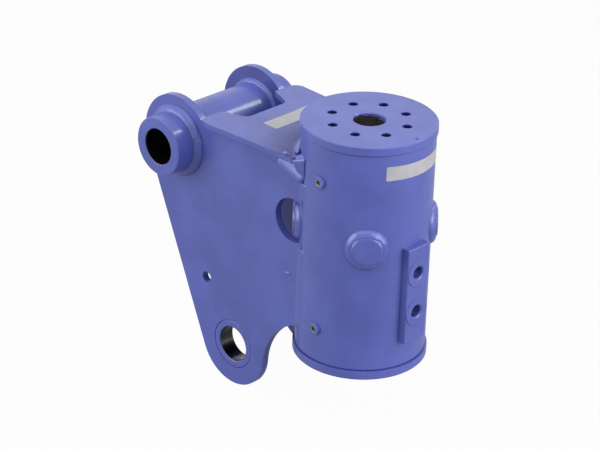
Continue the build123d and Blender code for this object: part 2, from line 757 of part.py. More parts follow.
# Other bracket welds: under the roof edges, round the collar and down the side plates
outer_turn = acos(plate_outer_y / housing_r)
inner_turn = acos(plate_inner_y / housing_r)
toe_turn = outer_turn - radians(seam_housing_turn)
corner_x = -housing_r * sin(outer_turn)
inner_x = -housing_r * sin(inner_turn)
with BuildPart() as bracket_welds:
    for side in (-1, 1):
        with BuildSketch(Plane.YZ.offset(roof_weld_left_x)):
            with BuildLine():
                Polyline(
                    (side * plate_outer_y, side_top_z),
                    (side * (plate_outer_y + roof_weld_leg), side_top_z),
                    (side * plate_outer_y, side_top_z - roof_weld_leg),
                    close=True,
                )
            make_face()
        extrude(amount=roof_weld_right_x - roof_weld_left_x)
    with BuildSketch(Plane.XZ):
        with BuildLine():
            Polyline(
                (housing_r, roof_top_z),
                (housing_r + collar_weld_leg, roof_top_z),
                (housing_r, roof_top_z + collar_weld_leg),
                close=True,
            )
        make_face()
    collar = revolve(axis=Axis.Z, revolution_arc=2 * collar_weld_half, mode=Mode.PRIVATE)
    add(collar.rotate(Axis.Z, 180 - collar_weld_half))
    for bottom, top in seam_spans(corner_x):
        for side in (-1, 1):
            plate_toe = (corner_x - seam_plate_reach, side * plate_outer_y)
            housing_toe = (-housing_r * sin(toe_turn), side * housing_r * cos(toe_turn))
            crown = (
                (plate_toe[0] + housing_toe[0]) / 2,
                (plate_toe[1] + housing_toe[1]) / 2 + side * seam_bulge,
            )
            with BuildSketch(Plane.XY.offset(bottom)):
                with BuildLine():
                    ThreePointArc(plate_toe, crown, housing_toe)
                    Polyline(housing_toe, (corner_x, side * plate_outer_y), plate_toe)
                make_face()
                Circle(housing_r, mode=Mode.SUBTRACT)
            extrude(amount=top - bottom)
    for bottom, top in seam_spans(inner_x - inner_seam_leg):
        for side in (-1, 1):
            with BuildSketch(Plane.XY.offset(bottom)):
                with BuildLine():
                    Polyline(
                        (inner_x - inner_seam_leg, side * plate_inner_y),
                        (inner_x + inner_seam_leg, side * plate_inner_y),
                        (inner_x, side * (plate_inner_y - inner_seam_leg)),
                        close=True,
                    )
                make_face()
                Circle(housing_r, mode=Mode.SUBTRACT)
            extrude(amount=top - bottom)
finish(bracket_welds.part, "bracket_welds")
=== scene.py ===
import json
from math import atan2, cos, pi, radians, sin, sqrt

import bpy
from bpy.props import FloatProperty, FloatVectorProperty, IntProperty, PointerProperty
from mathutils import Matrix, Vector


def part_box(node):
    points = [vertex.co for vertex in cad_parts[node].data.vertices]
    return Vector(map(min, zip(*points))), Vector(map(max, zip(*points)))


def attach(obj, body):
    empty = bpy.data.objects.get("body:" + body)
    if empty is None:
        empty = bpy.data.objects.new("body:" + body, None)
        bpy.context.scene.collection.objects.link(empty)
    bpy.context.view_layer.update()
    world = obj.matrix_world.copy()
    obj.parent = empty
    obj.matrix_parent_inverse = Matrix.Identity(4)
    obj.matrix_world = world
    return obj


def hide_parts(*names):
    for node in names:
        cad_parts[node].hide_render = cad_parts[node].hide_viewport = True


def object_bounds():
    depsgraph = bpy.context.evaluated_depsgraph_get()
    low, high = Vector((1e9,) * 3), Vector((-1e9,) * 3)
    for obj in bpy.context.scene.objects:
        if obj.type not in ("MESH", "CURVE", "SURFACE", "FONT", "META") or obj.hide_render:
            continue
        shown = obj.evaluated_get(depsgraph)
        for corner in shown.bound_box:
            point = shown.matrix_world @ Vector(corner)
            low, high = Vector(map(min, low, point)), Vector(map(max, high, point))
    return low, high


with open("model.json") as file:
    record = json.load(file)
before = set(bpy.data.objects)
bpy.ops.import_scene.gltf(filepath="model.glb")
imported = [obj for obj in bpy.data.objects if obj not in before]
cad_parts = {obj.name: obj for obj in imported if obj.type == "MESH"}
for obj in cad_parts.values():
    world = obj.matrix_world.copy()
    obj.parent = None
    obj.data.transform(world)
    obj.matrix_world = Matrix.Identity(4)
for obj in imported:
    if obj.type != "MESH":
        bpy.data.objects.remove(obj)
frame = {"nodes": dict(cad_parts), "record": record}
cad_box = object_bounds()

bl_info = {
    "name": "Platform rotator looks",
    "version": (1, 0, 0),
    "blender": (4, 5, 0),
    "location": "View3D > Sidebar > Rotator",
    "description": "Paint, welds, labels and studio for a helical hydraulic platform rotator",
    "category": "Object",
}

MM = 0.001
SMOOTH_ANGLE = 40
MERGE_GAP = 0.002 * MM


def middle(node):
    """Centre of a CAD node's box."""
    low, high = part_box(node)
    return Vector([(a + b) / 2 for a, b in zip(low, high)])


def span(node, axis):
    """Lowest and highest place of a CAD node along an axis."""
    low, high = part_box(node)
    return low[axis], high[axis]


def mount_place(name):
    """Place of one of the record's mounts."""
    mounts = frame["record"]["mounts"]
    return Vector(next(mount["pos_m"] for mount in mounts if mount["name"] == name))


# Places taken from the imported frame
HOUSING_R = (span("housing", 0)[1] - span("housing", 0)[0]) / 2
FLANGE_TOP = span("shaft", 2)[1]
PIVOT = middle("pivot_tube")
TUBE_R = (span("pivot_tube", 0)[1] - span("pivot_tube", 0)[0]) / 2
LOWER_PIN = middle("lower_bush_right")
PLATE_OUTER = -span("side_plate_right", 1)[0]
PLATE_INNER = -span("side_plate_right", 1)[1]
ROOF_BOTTOM, ROOF_TOP = span("top_plate", 2)
PIN_HEIGHT = middle("ring_gear_pins").z
BLOCK_FRONT = span("port_block", 0)[1]
FLOOR_Z = cad_box[0][2] - 2 * MM
PORTS = [mount_place(name) for name in ("lower_port", "upper_port")]

# Threads that show in the bare holes: axis and pitch
BOLT_THREAD = (2, 1.75 * MM)
PORT_THREAD = (0, 1.34 * MM)

# Welds between housing and side plates: lower and upper end of each run
OUTER_SEAM_RUNS = ((36.4 * MM, 127.6 * MM), (183.0 * MM, 203.0 * MM))
INNER_SEAM_RUNS = ((26.6 * MM, 127.6 * MM), (183.0 * MM, 212.6 * MM))

# Pin welds: their angles round the housing, and the middle and lean of a ring's section
PIN_ANGLES = (-135, -45, 45, 135)
PIN_WELD_R = 19.0 * MM
PIN_WELD_LIFT = 1.5 * MM
PIN_WELD_LEAN = 38

# Corners of the lump at a front corner of the top plate, in millimetres, on the -Y side:
# left and right along the top, then left and right along the bottom
LUMP_NEAR = (
    (-43.6, -68.3, 225.5),
    (-26.5, -65.4, 232.0),
    (-37.0, -66.0, 214.0),
    (-26.5, -65.2, 211.0),
)
LUMP_FAR = (
    (-46.0, -55.0, 229.5),
    (-34.0, -57.0, 235.0),
    (-40.0, -54.0, 214.0),
    (-32.0, -58.0, 209.0),
)

# Housing label: angle round the housing, slope, and height of its middle
LABEL_ANGLE = 9.5
LABEL_SLOPE = 0.9
LABEL_HEIGHT = 235.9 * MM

# Top label: place of its middle, the y where its end starts to lift and the length that lifts,
# and the x where that lift is least and the width over which it grows
TAG_PLACE = (-115.2 * MM, 5 * MM)
TAG_LIFT_Y = (8 * MM, 30 * MM)
TAG_LIFT_X = (-122 * MM, 18 * MM)

# Studio lights: name, place, aim, size, its setting, and whether only its gleam shows
LIGHTS = (
    ("top_light", (-0.1, -0.2, 1.7), (0, 0, 0.1), 1.9, "top_power", False),
    ("right_light", (1.75, 0.4, 0.8), (0, 0, 0.12), 1.6, "right_power", False),
    ("left_light", (-1.2, -1.7, 0.6), (-0.1, 0, 0.1), 1.6, "left_power", False),
    ("rim_light", (0.62, 1.29, 1.52), (-0.1, 0, 0.15), 0.34, "rim_power", True),
)

# Camera where the photograph was taken from
CAMERA_PLACE = (1.4688, -1.6215, 1.2415)
CAMERA_RIGHT = (0.70982, 0.70381, 0.02841)
CAMERA_BACK = (0.62006, -0.64347, 0.44886)
SENSOR_WIDTH = 36
CLIP_END = 20

# Floor: width, shade, and how white it looks to the camera and in reflections
FLOOR_WIDTH = 12
FLOOR_SHADE = 0.28
FLOOR_GLOW = 0.97
FLOOR_MIRRORED = 0.2


class PaintSettings(bpy.types.PropertyGroup):
    """Colours and finish of the painted and bare surfaces."""

    colour: FloatVectorProperty(
        name="Paint colour",
        description="Colour of the enamel",
        subtype="COLOR",
        size=4,
        min=0,
        max=1,
        default=(0.077, 0.1, 0.392, 1),
    )
    roughness: FloatProperty(
        name="Paint roughness",
        description="Roughness of the enamel",
        subtype="FACTOR",
        min=0,
        max=1,
        default=0.36,
    )
    coat: FloatProperty(
        name="Clear coat",
        description="Share of the crisp reflection over the enamel",
        subtype="FACTOR",
        min=0,
        max=1,
        default=0.35,
    )
    peel: FloatProperty(
        name="Orange peel",
        description="Height of the fine ripple in the enamel",
        subtype="DISTANCE",
        min=0,
        default=0.03 * MM,
    )
    steel: FloatVectorProperty(
        name="Bare steel",
        description="Colour of bare machined steel",
        subtype="COLOR",
        size=4,
        min=0,
        max=1,
        default=(0.23, 0.22, 0.21, 1),
    )
    oiled: FloatVectorProperty(
        name="Oiled bore",
        description="Colour of an oiled or rusted bore",
        subtype="COLOR",
        size=4,
        min=0,
        max=1,
        default=(0.035, 0.033, 0.03, 1),
    )


class WeldSettings(bpy.types.PropertyGroup):
    """Sizes of the weld beads."""

    pivot_outer_leg: FloatProperty(
        name="Pivot weld leg",
        description="Leg of the weld outside each plate head",
        subtype="DISTANCE",
        default=8 * MM,
    )
    pivot_inner_leg: FloatProperty(
        name="Inner pivot weld leg",
        description="Leg of the weld inside each plate head",
        subtype="DISTANCE",
        default=5 * MM,
    )
    crown: FloatProperty(
        name="Crown",
        description="Half thickness of a bead's section",
        subtype="DISTANCE",
        default=3.1 * MM,
    )
    lump: FloatProperty(
        name="Unevenness",
        description="Height of the lumps along a bead",
        subtype="DISTANCE",
        default=0.8 * MM,
    )
    section_points: IntProperty(
        name="Section points",
        description="Corners round a bead's section",
        min=6,
        default=20,
    )


class LabelSettings(bpy.types.PropertyGroup):
    """Sizes of the two blank labels."""

    height: FloatProperty(
        name="Label height",
        description="Height of the label on the housing",
        subtype="DISTANCE",
        default=15.5 * MM,
    )
    length: FloatProperty(
        name="Label length",
        description="Length of the label on the housing",
        subtype="DISTANCE",
        default=100 * MM,
    )
    tag_length: FloatProperty(
        name="Top label length",
        description="Length of the label on the top plate",
        subtype="DISTANCE",
        default=66 * MM,
    )
    tag_width: FloatProperty(
        name="Top label width",
        description="Width of the label on the top plate",
        subtype="DISTANCE",
        default=20.5 * MM,
    )
    tag_lift: FloatProperty(
        name="Top label lift",
        description="How far the loose end of the top label stands up",
        subtype="DISTANCE",
        default=3 * MM,
    )
    thickness: FloatProperty(
        name="Label thickness",
        description="Thickness of the label film",
        subtype="DISTANCE",
        default=0.15 * MM,
    )
    colour: FloatVectorProperty(
        name="Label colour",
        description="Colour of the label film",
        subtype="COLOR",
        size=4,
        min=0,
        max=1,
        default=(0.42, 0.418, 0.44, 1),
    )


class StageSettings(bpy.types.PropertyGroup):
    """Light levels and camera of the studio."""

    top_power: FloatProperty(
        name="Top light",
        description="Power of the soft light overhead in watts",
        default=14,
    )
    right_power: FloatProperty(
        name="Right light",
        description="Power of the soft light beside the port block in watts",
        default=37,
    )
    left_power: FloatProperty(
        name="Left light",
        description="Power of the soft light on the side plate in watts",
        default=31,
    )
    rim_power: FloatProperty(
        name="Rim light",
        description="Power of the small light behind, which only shows as a gleam, in watts",
        default=5,
    )
    world_level: FloatProperty(
        name="World level",
        description="Strength of the even light from all round",
        default=0.46,
    )
    lens: FloatProperty(
        name="Lens",
        description="Focal length of the camera in millimetres",
        default=140.534,
    )


def deselect_all():
    """Leave nothing selected, in object mode."""
    if bpy.context.object and bpy.context.object.mode != "OBJECT":
        bpy.ops.object.mode_set(mode="OBJECT")
    bpy.ops.object.select_all(action="DESELECT")


def make_active(piece):
    """Select one piece alone."""
    deselect_all()
    piece.select_set(True)
    bpy.context.view_layer.objects.active = piece


def settle(piece):
    """Bake the piece's place, turn and size into its mesh."""
    make_active(piece)
    bpy.ops.object.transform_apply(location=True, rotation=True, scale=True)


def apply_modifier(piece, kind, **values):
    """Add one modifier with these values and apply it."""
    make_active(piece)
    modifier = piece.modifiers.new(kind.title(), kind)
    for key, value in values.items():
        setattr(modifier, key, value)
    bpy.ops.object.modifier_apply(modifier=modifier.name)


def tidy_mesh(piece):
    """Merge doubles and turn the faces outwards."""
    make_active(piece)
    bpy.ops.object.mode_set(mode="EDIT")
    bpy.ops.mesh.select_all(action="SELECT")
    bpy.ops.mesh.remove_doubles(threshold=MERGE_GAP)
    bpy.ops.mesh.normals_make_consistent(inside=False)
    bpy.ops.object.mode_set(mode="OBJECT")


def join(pieces, name):
    """Join pieces to one named object."""
    deselect_all()
    for piece in pieces:
        piece.select_set(True)
    bpy.context.view_layer.objects.active = pieces[0]
    if len(pieces) > 1:
        bpy.ops.object.join()
    joined = bpy.context.object
    joined.name = name
    joined.data.name = name
    return joined


def complete(piece, material):
    """Shade and paint a finished piece, and let it ride with the housing."""
    settle(piece)
    bpy.ops.object.shade_smooth_by_angle(angle=radians(SMOOTH_ANGLE))
    piece.data.materials.clear()
    piece.data.materials.append(material)
    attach(piece, "housing")


def edit_selected(piece, parts, chosen):
    """Select the points or edges that pass a test, and go to edit mode."""
    make_active(piece)
    for part in (*piece.data.vertices, *piece.data.edges, *piece.data.polygons):
        part.select = False
    for part in getattr(piece.data, parts):
        part.select = chosen(part)
    points = parts == "vertices"
    bpy.context.tool_settings.mesh_select_mode = (points, not points, False)
    bpy.ops.object.mode_set(mode="EDIT")


def resize_points(piece, chosen, value, centre):
    """Resize the points that pass a test about a centre."""
    edit_selected(piece, "vertices", chosen)
    bpy.ops.transform.resize(value=value, center_override=centre)
    bpy.ops.object.mode_set(mode="OBJECT")


def move_point(piece, number, place):
    """Move one point to its place."""
    way = Vector(place) - piece.data.vertices[number].co
    edit_selected(piece, "vertices", lambda point: point.index == number)
    bpy.ops.transform.translate(value=way)
    bpy.ops.object.mode_set(mode="OBJECT")


def copy_moved(piece, move):
    """Copy of a piece with its own mesh, moved by a matrix."""
    make_active(piece)
    bpy.ops.object.duplicate()
    copy = bpy.context.object
    copy.matrix_world = move
    settle(copy)
    tidy_mesh(copy)
    return copy


def with_mirrored(pieces):
    """These pieces of the -Y side, and their copies on the +Y side."""
    flip = Matrix.Diagonal((1, -1, 1, 1))
    return [*pieces, *(copy_moved(piece, flip) for piece in pieces)]


# Materials

# Painted shade: a dark navy with little sheen, mixed into the enamel where shade falls
SHADE_PAINT = (0.018, 0.022, 0.13, 1)
SHADE_SHINE = 0.3
PLAIN_SHINE = 0.5
COAT_ROUGHNESS = 0.1
ORIGIN = (0, 0, 0)

# Noise patterns: their scale and detail
CLOUDS = (22, 4)
GLOSS_PATCHES = (75, 3)
LUMPS = (55, 2)
ORANGE_PEEL = (620, 2)
METAL_GRAIN = (260, 4)
TOOL_MARKS = (900, 3)
STAINS = (40, 4)
MOULD_GRAIN = (1400, 2)
# Patches of the painted shade on the top plate beside the housing
SHADE_PATCHES = (30, 3)
RAGGED_EDGE = (160, 3)
WELD_WOBBLE = (130, 2)
FILM_SHADE = (90, 4)
FILM_WAVE = (140, 2)

# Radii of the masks
PIN_BORE_R = 20.3 * MM
CENTRE_BORE_R = 17.4 * MM
CENTRE_BORE_RIM_R = 20 * MM
BOLT_RING_R = 52 * MM
HOUSING_BORE_R = 63 * MM
PORT_R = 7.1 * MM
SCREW_HEAD_R = 6.6 * MM
SCREW_SOCKET_R = 4.1 * MM


class Shader:
    """A node material with one principled shader, and short ways to add nodes."""

    def __init__(self, name):
        """Start with the principled shader joined to the output."""
        self.material = bpy.data.materials.new(name)
        self.material.use_nodes = True
        self.tree = self.material.node_tree
        self.tree.nodes.clear()
        output = self.tree.nodes.new("ShaderNodeOutputMaterial")
        self.surface = self.tree.nodes.new("ShaderNodeBsdfPrincipled")
        self.tree.links.new(self.surface.outputs["BSDF"], output.inputs["Surface"])
        self.place = self.tree.nodes.new("ShaderNodeTexCoord").outputs["Object"]

    def link(self, source, target):
        """Join a socket, or set a constant on the target."""
        if isinstance(source, bpy.types.NodeSocket):
            self.tree.links.new(source, target)
        else:
            target.default_value = source

    def node(self, kind, inputs=(), **settings):
        """Add a node with its settings and inputs."""
        node = self.tree.nodes.new(kind)
        for key, value in settings.items():
            setattr(node, key, value)
        for key, value in dict(inputs).items():
            self.link(value, node.inputs[key])
        return node

    def math(self, operation, first, second=0.0):
        """Value of one sum."""
        node = self.node("ShaderNodeMath", {0: first, 1: second}, operation=operation)
        return node.outputs[0]

    def noise(self, scale, detail=2.0, place=None):
        """Noise value between 0 and 1."""
        inputs = {"Vector": place or self.place, "Scale": scale, "Detail": detail}
        return self.node("ShaderNodeTexNoise", inputs).outputs["Fac"]

    def spread(self, value, low, high, to_low, to_high):
        """Value stretched from one range to another, and held at its ends."""
        inputs = {0: value, 1: low, 2: high, 3: to_low, 4: to_high}
        return self.node("ShaderNodeMapRange", inputs).outputs[0]

    def mix_colour(self, factor, first, second):
        """Colour between two colours."""
        node = self.node("ShaderNodeMix", data_type="RGBA")
        self.link(factor, node.inputs[0])
        self.link(first, node.inputs[6])
        self.link(second, node.inputs[7])
        return node.outputs[2]

    def mix_value(self, factor, first, second):
        """Value between two values."""
        node = self.node("ShaderNodeMix", {0: factor, 2: first, 3: second}, data_type="FLOAT")
        return node.outputs[0]

    def axes(self):
        """X, Y and Z of the place on the object."""
        return self.node("ShaderNodeSeparateXYZ", {0: self.place}).outputs

    def inside_cylinder(self, axis, centre, radius, blur=0.15 * MM):
        """1 within a radius of an axis through centre, and 0 outside it."""
        keep = [1.0, 1.0, 1.0]
        keep[axis] = 0.0
        moved = self.node("ShaderNodeVectorMath", {0: self.place, 1: centre}, operation="SUBTRACT")
        flat = self.node(
            "ShaderNodeVectorMath", {0: moved.outputs[0], 1: keep}, operation="MULTIPLY"
        )
        length = self.node("ShaderNodeVectorMath", {0: flat.outputs[0]}, operation="LENGTH")
        return self.spread(length.outputs["Value"], radius - blur, radius + blur, 1.0, 0.0)

    def contrast(self, value, low=0.3, high=0.7, to_low=0.0, to_high=1.0):
        """Middle of a noise value stretched to a range."""
        return self.spread(value, low, high, to_low, to_high)

    def both(self, *values):
        """Product of masks."""
        product = values[0]
        for value in values[1:]:
            product = self.math("MULTIPLY", product, value)
        return product

    def either(self, first, second):
        """Larger of two masks."""
        return self.math("MAXIMUM", first, second)

    def from_axis(self):
        """Distance from the axis of rotation."""
        inputs = {0: self.place, 1: (1, 1, 0)}
        flat = self.node("ShaderNodeVectorMath", inputs, operation="MULTIPLY").outputs[0]
        length = self.node("ShaderNodeVectorMath", {0: flat}, operation="LENGTH")
        return length.outputs["Value"]

    def below_flange(self, start, end):
        """Mask that comes in from one depth to another below the flange's face."""
        return self.spread(self.axes()[2], FLANGE_TOP - end, FLANGE_TOP - start, 1.0, 0.0)

    def set(self, name, source):
        """Give the surface a value or a pattern."""
        self.link(source, self.surface.inputs[name])

    def bump(self, height, distance, normal=None):
        """Normal moved by a height map."""
        inputs = {"Height": height, "Distance": distance, "Strength": 1.0}
        if normal:
            inputs["Normal"] = normal
        return self.node("ShaderNodeBump", inputs).outputs["Normal"]

    def soft_edges(self, radius):
        """Normal that rounds the edges."""
        return self.node("ShaderNodeBevel", {"Radius": radius}, samples=6).outputs["Normal"]


def shaded(colour, share):
    """A colour at a share of its lightness, made opaque."""
    return (*[channel * share for channel in colour], 1)


def enamel(
    name,
    bare=None,
    bare_colour=None,
    bare_roughness=0.38,
    lumps=0.02 * MM,
    ripple=None,
    thread=None,
    painted_shade=None,
    edge=0.7 * MM,
    tone=1.0,
):
    """Blue enamel with orange peel, and bare metal where a mask says so.

    bare and ripple are functions that are given the shader and return a value socket, and so
    is the painted-shade mask, which darkens the paint towards navy and takes off its sheen.
    thread is the axis and pitch of a thread that is cut in the bare metal.
    """
    settings = bpy.context.scene.rotator_paint
    shader = Shader(name)
    colour = Vector(settings.colour[:3]) * tone
    light = (*(colour * 1.06 + Vector((0.004, 0.004, 0.004))), 1)
    dark = shaded(colour, 0.9)
    cloud = shader.contrast(shader.noise(*CLOUDS), 0.35, 0.65)
    paint = shader.mix_colour(cloud, dark, light)
    coat = settings.coat
    # Painted shade: where the mask says, the paint darkens towards navy and loses its coat and
    # some sheen
    if painted_shade:
        share = painted_shade(shader)
        paint = shader.mix_colour(share, paint, SHADE_PAINT)
        coat = shader.mix_value(share, settings.coat, 0.0)
        shader.set("Specular IOR Level", shader.mix_value(share, PLAIN_SHINE, SHADE_SHINE))
    patches = shader.noise(*GLOSS_PATCHES)
    rough = settings.roughness
    gloss = shader.contrast(patches, to_low=rough - 0.05, to_high=rough + 0.06)
    normal = shader.soft_edges(edge)
    normal = shader.bump(shader.noise(*LUMPS), lumps, normal)
    normal = shader.bump(shader.noise(*ORANGE_PEEL), settings.peel, normal)
    if ripple:
        normal = shader.bump(ripple(shader), 0.2 * MM, normal)
    if bare:
        mask = bare(shader)
        grain = shader.contrast(shader.noise(*METAL_GRAIN))
        clean = tuple(bare_colour or settings.steel[:])
        metal = shader.mix_colour(grain, shaded(clean[:3], 0.55), clean)
        paint = shader.mix_colour(mask, paint, metal)
        gloss = shader.mix_value(mask, gloss, bare_roughness)
        shader.set("Metallic", mask)
        if thread:
            wave = shader.both(thread_wave(shader, *thread), mask)
            normal = shader.bump(wave, thread[1] * 0.5, normal)
    shader.set("Base Color", paint)
    shader.set("Roughness", gloss)
    shader.set("Normal", normal)
    shader.set("Coat Weight", coat)
    shader.set("Coat Roughness", COAT_ROUGHNESS)
    return shader.material


def machined(name, colour, roughness, stretch=(1, 1, 1)):
    """Turned or ground metal with fine marks and slight stains."""
    shader = Shader(name)
    stretched = shader.node("ShaderNodeMapping", {"Vector": shader.place, "Scale": stretch})
    marks = shader.noise(*TOOL_MARKS, stretched.outputs[0])
    stains = shader.contrast(shader.noise(*STAINS))
    shader.set("Base Color", shader.mix_colour(stains, shaded(colour, 0.7), (*colour, 1)))
    uneven = shader.contrast(marks, to_low=roughness - 0.08, to_high=roughness + 0.08)
    shader.set("Roughness", uneven)
    shader.set("Normal", shader.bump(marks, 0.02 * MM, shader.soft_edges(0.3 * MM)))
    shader.set("Metallic", 1.0)
    return shader.material


def moulded(name, colour, roughness):
    """Matt plastic or rubber with a fine moulded grain."""
    shader = Shader(name)
    grain = shader.noise(*MOULD_GRAIN)
    light = (*[min(1, channel * 1.25 + 0.01) for channel in colour], 1)
    shader.set("Base Color", shader.mix_colour(grain, (*colour, 1), light))
    shader.set("Normal", shader.bump(grain, 0.03 * MM))
    shader.set("Roughness", roughness)
    return shader.material


def label_film(name):
    """White film, left blank."""
    shader = Shader(name)
    colour = bpy.context.scene.rotator_label.colour
    shade = shader.contrast(shader.noise(*FILM_SHADE), 0.35)
    shader.set("Base Color", shader.mix_colour(shade, tuple(colour), shaded(colour[:3], 0.88)))
    shader.set("Normal", shader.bump(shader.noise(*FILM_WAVE), 0.15 * MM))
    shader.set("Roughness", 0.42)
    return shader.material


def thread_wave(shader, axis, pitch):
    """Crests of a thread cut along an axis."""
    along = shader.math("MULTIPLY", shader.axes()[axis], 2 * pi / pitch)
    return shader.math("SINE", along)


def shade_by_housing(shader):
    """Share of painted shade on the top plate beside the housing, in patches."""
    reach = shader.from_axis()
    near = shader.spread(reach, HOUSING_R + 9 * MM, HOUSING_R + 48 * MM, 0.9, 0.0)
    beside = shader.spread(reach, HOUSING_R + 6 * MM, HOUSING_R + 9 * MM, 0.1, 1.0)
    patchy = shader.contrast(shader.noise(*SHADE_PATCHES), to_low=0.75)
    top = shader.spread(shader.axes()[2], ROOF_TOP - 0.6 * MM, ROOF_TOP - 0.3 * MM, 0.0, 1.0)
    return shader.both(near, patchy, beside, top)


def shade_in_tapped_holes(shader):
    """Share of painted shade in the flange's tapped holes."""
    ring = shader.inside_cylinder(2, ORIGIN, BOLT_RING_R)
    rim = shader.inside_cylinder(2, ORIGIN, CENTRE_BORE_RIM_R)
    outside_bore = shader.math("SUBTRACT", 1.0, rim)
    return shader.both(shader.below_flange(1.0 * MM, 1.4 * MM), ring, outside_bore)


def shade_on_inner_side(shader):
    """Share of painted shade on the inner faces of the side plates."""
    across = shader.math("ABSOLUTE", shader.axes()[1])
    return shader.spread(across, PLATE_INNER + 0.2 * MM, PLATE_INNER + 0.6 * MM, 0.4, 0.0)


def bare_pivot_bore(shader):
    """Mask of the pivot tube's bore."""
    return shader.inside_cylinder(1, PIVOT, PIN_BORE_R)


def bare_lower_bore(shader):
    """Mask of the lower bushes' bores."""
    return shader.inside_cylinder(1, LOWER_PIN, PIN_BORE_R)


def bare_shaft(shader):
    """Mask of the shaft's centre bore, below a ragged edge of paint, and hidden length."""
    height = shader.axes()[2]
    ragged = shader.contrast(shader.noise(*RAGGED_EDGE), to_low=-1.6 * MM, to_high=1.6 * MM)
    inputs = {0: shader.place, 1: (0.09, 0.09, 0)}
    lean = shader.node("ShaderNodeVectorMath", inputs, operation="DOT_PRODUCT").outputs["Value"]
    level = shader.math("ADD", height, shader.math("ADD", ragged, lean))
    unpainted = shader.spread(level, FLANGE_TOP - 4.2 * MM, FLANGE_TOP - 3.4 * MM, 1.0, 0.0)
    bore = shader.both(shader.inside_cylinder(2, ORIGIN, CENTRE_BORE_R), unpainted)
    outside = shader.math("SUBTRACT", 1.0, shader.inside_cylinder(2, ORIGIN, BOLT_RING_R))
    return shader.either(bore, shader.both(shader.below_flange(9.8 * MM, 10.2 * MM), outside))


def bare_cap(shader):
    """Mask of the end cap's hidden spigot, bore and tapped holes."""
    height = shader.axes()[2]
    hidden = shader.spread(height, 10.0 * MM, 10.4 * MM, 0.0, 1.0)
    deep = shader.spread(height, 1.0 * MM, 1.4 * MM, 0.0, 1.0)
    tapped = shader.both(deep, shader.inside_cylinder(2, ORIGIN, BOLT_RING_R))
    return shader.either(hidden, tapped)


def bare_housing(shader):
    """Mask of the housing's inside."""
    return shader.inside_cylinder(2, ORIGIN, HOUSING_BORE_R)


def bare_ports(shader):
    """Mask of the port threads behind their painted mouths."""
    across = shader.axes()[0]
    deep = shader.spread(across, BLOCK_FRONT - 8.5 * MM, BLOCK_FRONT - 6.5 * MM, 1.0, 0.0)
    ports = [shader.inside_cylinder(0, port, PORT_R) for port in PORTS]
    return shader.both(deep, shader.either(*ports))


def bare_screw_heads(shader):
    """Mask of the bare middle of each bleed screw's head."""
    low, high = span("bleed_screws", 2)
    screws = [
        shader.inside_cylinder(1, (0, 0, height), SCREW_SOCKET_R, 0.6 * MM)
        for height in (low + SCREW_HEAD_R, high - SCREW_HEAD_R)
    ]
    return shader.either(*screws)


def ring_ripple(centre, turn, count):
    """Ripple of a weld that runs round an axis through centre."""

    def ripple(shader):
        """Rise and fall along the weld, between 0 and 1."""
        mapping = shader.node(
            "ShaderNodeMapping", {"Vector": shader.place, "Location": centre, "Rotation": turn}
        )
        mapping.vector_type = "TEXTURE"
        round_it = shader.node(
            "ShaderNodeTexGradient", {"Vector": mapping.outputs[0]}, gradient_type="RADIAL"
        )
        wobble = shader.math("MULTIPLY", shader.noise(*WELD_WOBBLE), 0.02)
        turns = shader.math("ADD", round_it.outputs["Fac"], wobble)
        wave = shader.math("SINE", shader.math("MULTIPLY", turns, count * 2 * pi))
        return shader.math("MULTIPLY", shader.math("ADD", wave, 1.0), 0.5)

    return ripple


class ROTATOR_OT_finishes(bpy.types.Operator):
    """Give every CAD node its paint, metal, plastic or rubber"""

    bl_idname = "rotator.finishes"
    bl_label = "Paint and metal"

    def execute(self, context):
        """Make the materials and assign them to the nodes."""
        settings = context.scene.rotator_paint
        oiled = settings.oiled[:]
        # Painted shade on the inner faces of the side plates
        plate = enamel("enamel_plate", lumps=0.035 * MM, painted_shade=shade_on_inner_side)
        finishes = {
            "housing": enamel("enamel_housing", bare_housing),
            "ring_gear_pins": enamel("enamel_pins", lumps=0.12 * MM, edge=4.5 * MM),
            "side_plate_left": plate,
            "side_plate_right": plate,
            # Painted shade on the top plate beside the housing
            "top_plate": enamel("enamel_roof", painted_shade=shade_by_housing),
            "pivot_tube": enamel("enamel_tube", bare_pivot_bore, oiled, 0.45),
            "lower_bush_left": enamel("enamel_bush", bare_lower_bore, (0.07, 0.07, 0.07, 1), 0.25),
            "port_block": enamel("enamel_block", bare_ports, oiled, thread=PORT_THREAD),
            "bleed_screws": enamel("enamel_screws", bare_screw_heads, (0.34, 0.35, 0.36, 1), 0.3),
            "shaft": enamel(
                "enamel_shaft",
                bare_shaft,
                (0.06, 0.052, 0.045, 1),
                0.42,
                thread=BOLT_THREAD,
                # Painted shade in the tapped holes
                painted_shade=shade_in_tapped_holes,
            ),
            "end_cap": enamel("enamel_cap", bare_cap),
            "ring_gear": machined("ground_steel", (0.42, 0.42, 0.44), 0.3),
            "piston_sleeve": machined("turned_steel", (0.4, 0.4, 0.42), 0.34, (1, 1, 0.1)),
            "cap_lock_screws": machined("black_screw", (0.06, 0.06, 0.065), 0.45),
            "upper_thrust_washer": machined("bearing_bronze", (0.6, 0.42, 0.2), 0.35),
            "upper_bearing": moulded("bearing_plastic", (0.16, 0.1, 0.06), 0.55),
            "upper_shaft_seal": moulded("seal_rubber", (0.018, 0.018, 0.02), 0.6),
        }
        same = {
            "lower_bush_right": "lower_bush_left",
            "lower_thrust_washer": "upper_thrust_washer",
            "lower_bearing": "upper_bearing",
            "piston_wear_ring": "upper_bearing",
            "piston_inner_ring": "upper_bearing",
            "lower_shaft_seal": "upper_shaft_seal",
            "cap_o_ring": "upper_shaft_seal",
            "piston_outer_seal": "upper_shaft_seal",
            "piston_inner_seal": "upper_shaft_seal",
            "pivot_welds": "housing",
            "pin_welds": "housing",
            "bracket_welds": "housing",
        }
        for node, other in same.items():
            finishes[node] = finishes[other]
        for name, node in frame["nodes"].items():
            for slot in node.material_slots:
                slot.material = finishes[name]
        return {"FINISHED"}


# Weld beads


